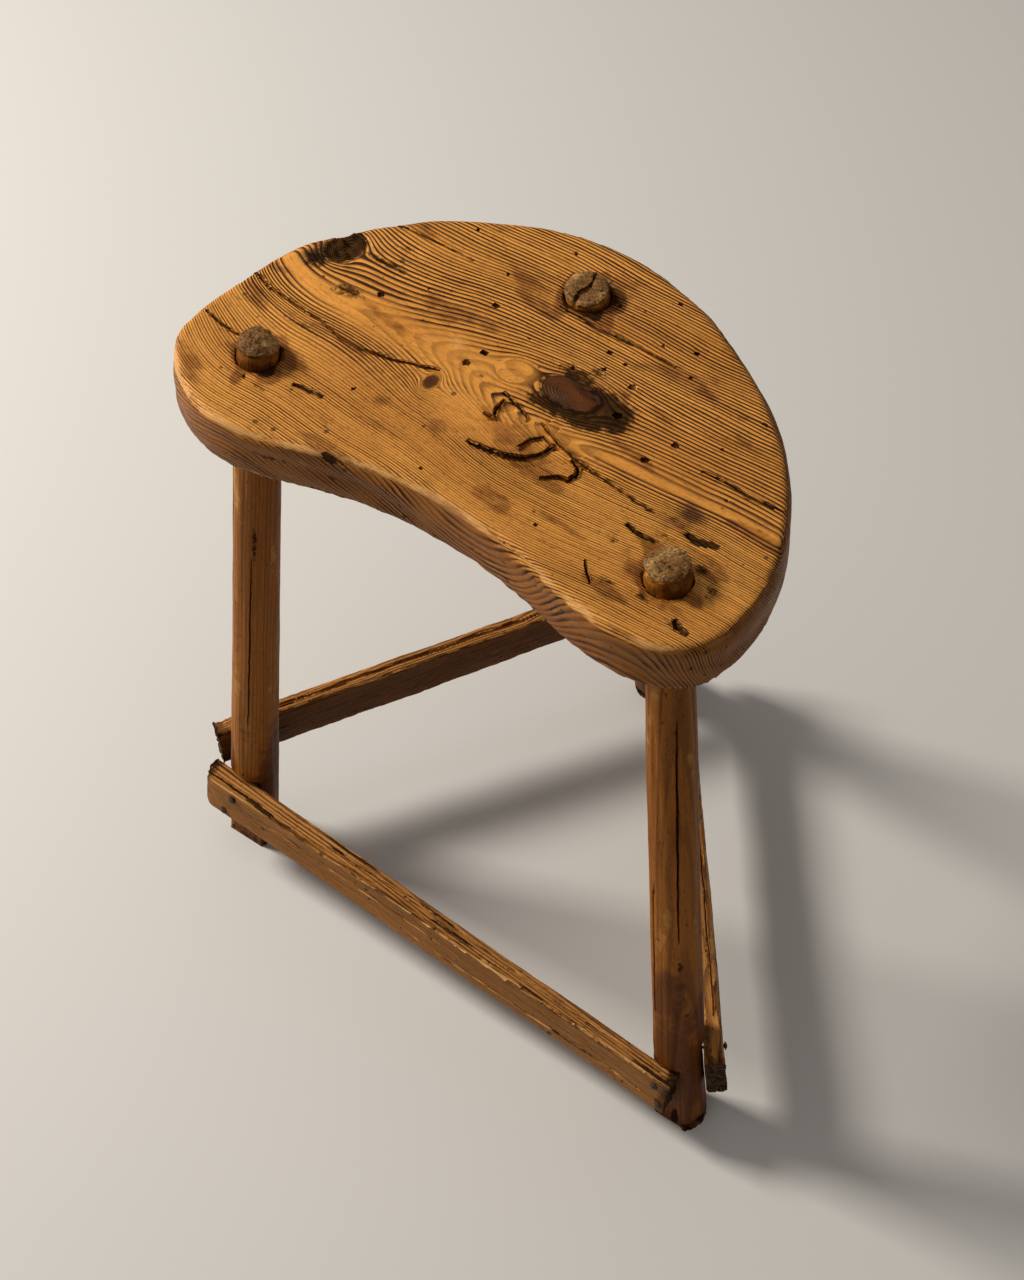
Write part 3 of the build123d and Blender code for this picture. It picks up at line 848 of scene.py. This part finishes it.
# %% Make a leg
def make_leg(name, title, seed, end_wear, flats, heart, cracks):
    stick = leg_stick(name)
    leg = piece_from(copy_of(name), title)
    remesh(leg, stick_grid)
    for low, high, turn, width, depth in cracks:
        way = stick.across * math.cos(turn) + stick.out * math.sin(turn)
        rng = np.random.default_rng(seed + int(low))
        run = []
        for along in np.arange(low, high, 7.0):
            round_here = 17.4 - 3.2 * along / 450       # the leg's radius there
            spin = turn + rng.uniform(-0.02, 0.02) + 0.0006 * (along - low)
            run.append(stick.place(along, round_here * math.cos(spin), round_here * math.sin(spin)))
        cut(leg, cutters("check", lambda shape: crack(shape, run, width * MM, depth * MM, up=Vector(way))))
    points, normals = points_of(leg), normals_of(leg)

    def uneven(x, y, z, number):
        return ripple(points, (x, y, z), seed + number)

    along, a, b = stick.measure(points)
    radius = np.hypot(a, b)
    angle = np.arctan2(b, a)
    facing = normals @ stick.along
    length = along.max()
    shaft = 1 - ease(points[:, 2], seat_under - 3, seat_under)
    end = ease(along, length - 5, length - 2.0) * ease(facing, 0.35, 0.75)
    foot = ease(-facing, 0.5, 0.8) * (1 - ease(points[:, 2], 0, 4))
    twist = angle + 0.0011 * along + 0.25 * uneven(60, 60, 200, 0)
    flat_cut = 0.55 * (1 - np.abs(np.cos(twist * flats / 2))) ** 1.3
    depth = flat_cut * ease(radius, 10, 14) + 0.35 * (1 + uneven(25, 25, 90, 1)) * 0.6
    depth += 0.12 * (1 + uneven(5, 5, 26, 2))
    chips = ease(uneven(9, 9, 7, 3), 0.1, 0.9) * (1 - ease(points[:, 2], 2, 13))
    depth += 1.8 * chips * shaft
    proud = (1 - shaft) * ease(points[:, 2], seat_top + 1, seat_top + 4)
    depth += 0.8 * proud * (1 + uneven(6, 6, 8, 12))
    moved = points - normals * (depth * (1 - end) * (1 - foot))[:, None]
    drop = end_wear(a, b, radius[along > length - 4].max(), points)
    moved -= stick.along * (drop * ease(along, length - 7, length - 1.5))[:, None]
    if end_wear is split_end:
        near_split = (1 - ease(np.abs(a), 2.2, 6)) * ease(along, length - 9, length - 6)
        sway = 1.5 * np.sin(b / 3.4 + 0.8) + 0.5 * uneven(3, 3, 6, 13)
        squeeze = a * (0.30 + 0.55 * ease(b, -9, 9))
        moved += stick.across * (near_split * (sway - squeeze))[:, None]
    move_points(leg, moved, name)
    rings = np.hypot(a - heart[0] - 0.012 * along, b - heart[1] + 0.006 * along) / 2.5
    rings += 0.25 * uneven(20, 20, 120, 4)
    fibre = np.stack([along, a, b], axis=1) * MM
    sawn = np.maximum(end, foot)
    # Darker towards the floor, and a little darker just under the seat.
    low_dirt = 0.95 * (1 - ease(points[:, 2], 40, 250)) + 0.35 * ease(points[:, 2], 340, 450)
    grime = low_dirt + 0.3 * uneven(16, 16, 60, 5) + 0.25 * (1 - shaft)
    char = 0.62 * ease(uneven(7, 7, 34, 6), 1.05, 1.6) + 0.5 * (1 - ease(points[:, 2], 4, 22))
    char += 0.45 * chips
    rubbed = 0.55 * ease(uneven(9, 9, 110, 7), 0.5, 1.4) * ease(points[:, 2], 60, 160)
    lip = ease(along, length - 7, length - 3.5) * (1 - ease(facing, 0.5, 0.85))
    rubbed = np.maximum(rubbed, 0.9 * lip * ease(uneven(8, 8, 8, 8), -0.3, 0.5))
    rubbed = np.maximum(rubbed, 0.85 * chips * ease(uneven(6, 6, 6, 9), 0, 0.6))
    rubbed = np.maximum(rubbed, proud * (1 - end) * (0.62 + 0.3 * uneven(6, 6, 9, 14)))
    dress(leg, rings, fibre, char=char * (1 - lip), grime=grime, rubbed=rubbed, sawn=sawn)
    complete(leg, name, leg_finish)
    print(title, len(leg.data.vertices), "points,", round(float(length)), "mm long")


make_leg("left_leg", "Left_leg", 40, domed_end, 9, (26, 9),
         [(150, 330, -1.2, 0.9, 4.0), (230, 420, 2.1, 0.8, 4.0)])
make_leg("right_leg", "Right_leg", 60, ridged_end, 10, (-22, 16),
         [(200, 400, -0.9, 1.1, 5.0), (120, 240, -2.1, 0.8, 3.0), (260, 430, 1.2, 0.9, 4.0)])
make_leg("back_leg", "Back_leg", 80, split_end, 8, (14, -27),
         [(160, 380, -0.6, 1.0, 5.0), (130, 300, 2.3, 0.9, 4.0)])

# %% [markdown]
# ## The wedge
# A thin sliver of split wood was driven into the end of the back tenon. It has shrunk and broken off below
# the surface at one end, which leaves an open slot beside it.

# %% Make the wedge
wedge = piece_from(copy_of("back_tenon_wedge"), "Back_tenon_wedge")
remesh(wedge, wedge_grid)
points, normals = points_of(wedge), normals_of(wedge)
low, high = points.min(axis=0), points.max(axis=0)
ragged_top = ease(points[:, 2], high[2] - 4, high[2] - 0.5)
moved = points.copy()
broken_off = 1.2 + 1.2 * ripple(points, (2.4, 2.4, 2.4), 90) + 2.2 * ease(-points[:, 1], -44, -36)
moved[:, 2] -= ragged_top * broken_off
move_points(wedge, moved, "back_tenon_wedge")
dress(wedge, (points[:, 0] - low[0]) / 1.1, points[:, [2, 0, 1]] * MM, char=0.35, grime=0.5,
      rubbed=0.4 * ragged_top, sawn=0.5 * ragged_top)
complete(wedge, "back_tenon_wedge", leg_finish)

# %% [markdown]
# ## The rails
# The rails are riven laths, rougher than the seat. Kicks and mud have worn their corners, and long checks run
# with the grain. The front rail has a pale sliver lifting along its outer top corner.

# %% Make a rail
def rail_stick(name, outward):
    """The rail's own axes, found from the spread of its points: along it, up it, and outwards."""
    shape = copy_of(name)
    cloud = np.array([v.co[:] for v in shape.verts]) / MM
    shape.free()
    middle = (cloud.min(axis=0) + cloud.max(axis=0)) / 2
    along = np.linalg.svd(cloud - cloud.mean(axis=0), full_matrices=False)[2][0]
    along *= np.sign(np.dot(along, outward[0]))
    return Stick(middle, along, (0, 0, 1))


def make_rail(name, title, outward, seed, heart, checks, tops, dark, ragged=1.0):
    stick = rail_stick(name, outward)
    rail = piece_from(copy_of(name), title)
    remesh(rail, stick_grid)
    points = points_of(rail)
    along, rise, out = stick.measure(points)
    half = (along.max() - along.min()) / 2
    facing = 1.0 if np.dot(stick.out, outward[1]) > 0 else -1.0
    for face, start, stop, offset, width, depth in checks:
        rng = np.random.default_rng(seed + int(start * 100))
        run = []
        steps = max(4, int((stop - start) * 2 * half / 8))
        for i in range(steps + 1):
            s = -half + 2 * half * (start + (stop - start) * i / steps)
            near = np.abs(along - s) < 5
            sway = offset + rng.uniform(-0.5, 0.5)
            if face == "top":
                high = np.percentile(rise[near], 96)
                run.append(stick.place(s, high, facing * sway + out[near].mean()))
            else:
                far = np.percentile(facing * out[near], 97)
                run.append(stick.place(s, rise[near].mean() + sway, facing * far))
        up = stick.across if face == "top" else stick.out * facing
        cut(rail, cutters("check", lambda shape: crack(shape, run, width * MM, depth * MM, up=Vector(up))))
    points, normals = points_of(rail), normals_of(rail)
    along, rise, out = stick.measure(points)
    own = np.stack([along, rise, out], axis=1)
    turn_up, turn_out = normals @ stick.across, facing * (normals @ stick.out)
    turn_along = normals @ stick.along

    def uneven(x, y, z, number, where=points):
        return ripple(where, (x, y, z), seed + number)

    ends = ease(np.abs(along), half - 3.0, half - 0.5) * ease(np.abs(turn_along), 0.4, 0.8)
    near_end = ease(np.abs(along), half - 16, half - 2)
    corner = ease(np.abs(turn_up), 0.25, 0.5) * ease(np.abs(turn_out), 0.25, 0.5)
    depth = 0.5 * (1 + uneven(70, 26, 26, 0)) + 0.16 * (1 + uneven(30, 5, 5, 1))
    fibres_up = uneven(60, 1.7, 1.7, 2, own)
    depth += 0.16 * (1 + fibres_up) + corner * (0.5 + 0.8 * ease(uneven(26, 9, 9, 3), 0, 1))
    chips = ease(uneven(7, 6, 6, 4), 0.1, 1.0)
    depth += ragged * near_end * 1.3 * chips * (1 - ends)
    moved = points - normals * (np.clip(depth, 0, 4) * (1 - ends))[:, None]
    torn = ends * (0.6 + 1.2 * ease(fibres_up, -0.6, 1.0) + 1.2 * chips) * ragged
    moved -= stick.along * (torn * np.sign(along))[:, None]
    move_points(rail, moved, name)
    rings = np.hypot(rise - heart[0] + 0.01 * along, out - heart[1] - 0.012 * along) / 1.5
    rings += 0.3 * uneven(70, 20, 20, 5)
    lit = ease(turn_up, 0.3, 0.7)
    outer = ease(turn_out, 0.3, 0.7)
    streak = uneven(48, 3.2, 3.2, 6, own)
    char = tops * lit * ease(streak + 0.25 * uneven(120, 40, 40, 7), 0.35, 1.0) * 0.8
    # Painted shade, partly dirt: dark streaks on the faces that don't turn up, scaled by the rail's darkness.
    char = np.maximum(char, dark * 0.55 * (1 - lit) * ease(streak, 0.7, 1.4))
    char = np.maximum(char, near_end * 0.7 * ease(uneven(16, 9, 9, 8), -0.2, 0.8))
    char = np.maximum(char, 0.5 * ends)
    # Painted shade: the faces that turn neither up nor out, the inner and lower ones, are darkened most; the
    # outer face gets a little dirt.
    grime = dark * (0.3 * outer + 0.95 * (1 - lit) * (1 - outer))
    grime += 0.2 * uneven(60, 9, 9, 9, own)
    grime = np.maximum(grime, 0.8 * near_end)
    rubbed = corner * ease(turn_up, 0, 0.3) * (0.6 + 0.5 * uneven(30, 9, 9, 10))
    rubbed = np.maximum(rubbed, corner * ease(turn_out, 0, 0.3) * ease(turn_up, 0, 0.3) * tops)
    dress(rail, rings, own * MM, char=char, grime=grime, rubbed=rubbed, sawn=ends)
    complete(rail, name, rail_finish)
    print(title, len(rail.data.vertices), "points,", round(2 * float(half)), "mm long")


# Each rail's darkness setting, the one after tops, is painted shade with some dirt: least on the front rail,
# most on the back rail under the seat.
make_rail(
    "front_rail", "Front_rail", ((1, 0, 0), (0, -1, 0)), 110, (34, -12),
    [("top", 0.16, 0.97, 5.2, 1.3, 3.6), ("top", 0.3, 0.62, -3.0, 0.9, 2.5),
     ("top", 0.66, 0.93, -1.5, 0.9, 2.5), ("face", 0.1, 0.55, 5.0, 0.8, 2.5),
     ("face", 0.45, 0.95, -7.0, 0.8, 2.5)], tops=1.0, dark=0.15)
make_rail(
    "side_rail", "Side_rail", ((-0.6, 0.8, 0), (0.8, 0.6, 0)), 140, (-30, 14),
    [("face", 0.02, 0.5, 4.0, 0.9, 3.0), ("top", 0.1, 0.8, 0.0, 0.9, 2.5)], tops=0.7, dark=0.55)
make_rail(
    "back_rail", "Back_rail", ((-0.5, -0.85, 0), (-0.85, 0.5, 0)), 170, (36, 10),
    [("top", 0.1, 0.9, -1.0, 0.8, 2.5), ("face", 0.3, 0.98, 6.0, 1.0, 3.5)],
    tops=0.55, dark=1.0, ragged=1.4)

# %% [markdown]
# ## The nails
# The nails are hand-made: a smith drew each one out square and struck its head with a few blows, so a head is
# a low uneven pyramid. The iron is brown-black and rusty, with a glint where it has been rubbed.

# %% Iron finish
iron = bpy.data.materials.new("Rusty iron")
iron.use_nodes = True
r = Recipe(iron.node_tree)
place = r.add("ShaderNodeTexCoord").outputs["Object"]
rust = r.span(r.noise(place, (900, 900, 900), detail=5.0, roughness=0.7), 0.38, 0.62)
scale_spots = r.noise(place, (2600, 2600, 2600), detail=3.0)
rust_tone = r.mix(scale_spots, (0.10, 0.035, 0.012, 1), (0.03, 0.012, 0.007, 1))
iron_bump = r.add("ShaderNodeBump", {"Height": r.math("ADD", rust, scale_spots), "Strength": 0.7,
                                     "Distance": 0.25 * MM})
r.fill(iron.node_tree.nodes["Principled BSDF"], {
    "Base Color": r.mix(rust, (0.045, 0.036, 0.030, 1), rust_tone),
    "Metallic": r.math("SUBTRACT", 0.9, rust), "Roughness": r.math("MULTIPLY_ADD", rust, 0.4, 0.36),
    "Normal": iron_bump.outputs["Normal"]})


# %% Make a nail
def make_nail(node, seed):
    shape = copy_of(node)
    cloud = np.array([v.co[:] for v in shape.verts]) / MM
    shape.free()
    centre = cloud.mean(axis=0)
    way = np.linalg.svd(cloud - centre, full_matrices=False)[2][0]
    reach = (cloud - centre) @ way
    spread = np.linalg.norm((cloud - centre) - reach[:, None] * way, axis=1)
    if reach[spread.argmax()] < 0:
        way, reach = -way, -reach
    length = reach.max() - reach.min()
    tip = centre + way * reach.min()
    head = spread.max() * 0.96
    rng = np.random.default_rng(seed)
    neck = length - 1.8         # where the head starts
    nail = bmesh.new()
    bmesh.ops.create_cone(nail, cap_ends=True, segments=4, radius1=0.45 * MM, radius2=1.75 * MM,
                          depth=neck * MM)
    bmesh.ops.translate(nail, verts=nail.verts, vec=(0, 0, neck / 2 * MM))
    crown = max((f for f in nail.faces if abs(f.normal.z) > 0.9), key=lambda f: f.calc_center_median().z)
    bmesh.ops.subdivide_edges(nail, edges=list(crown.edges), cuts=1)
    crown = max((f for f in nail.faces if len(f.verts) == 8), key=lambda f: f.calc_center_median().z)
    spokes = [Vector((v.co.x, v.co.y, 0)).normalized() for v in crown.verts]
    for rise, share in ((0.0, 1.0), (0.55, 1.0), (1.25, 0.62), (1.7, 0.24)):
        spots = []
        for spoke in spokes:
            lift = neck + rise + (rng.uniform(-0.12, 0.08) if rise else 0)
            spots.append((spoke * head * share * rng.uniform(0.86, 0.98) + Vector((0, 0, lift))) * MM)
        crown = grow(nail, crown, spots)
    sharp = [e for e in nail.edges if e.calc_face_angle(0) > 0.2]
    bmesh.ops.bevel(nail, geom=sharp, affect="EDGES", offset=0.14 * MM, segments=2, profile=0.5, material=-1)
    bmesh.ops.recalc_face_normals(nail, faces=nail.faces)
    turn = Vector(way).to_track_quat("Z", "Y").to_matrix().to_4x4()
    bmesh.ops.transform(nail, matrix=Matrix.Translation(Vector(tip) * MM) @ turn, verts=nail.verts)
    piece = piece_from(nail, node.capitalize())
    move_points(piece, points_of(piece), node)
    complete(piece, node, iron, crisp=50)
    return piece


nail_nodes = sorted(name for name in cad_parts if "_nail_" in name)
nails = [make_nail(node, 200 + i) for i, node in enumerate(nail_nodes)]
print(len(nails), "nails of", len(nails[0].data.polygons), "faces each")

# %% Sizes
low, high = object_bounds()
print("the stool's box, mm:", [round(v / MM, 1) for v in high - low])
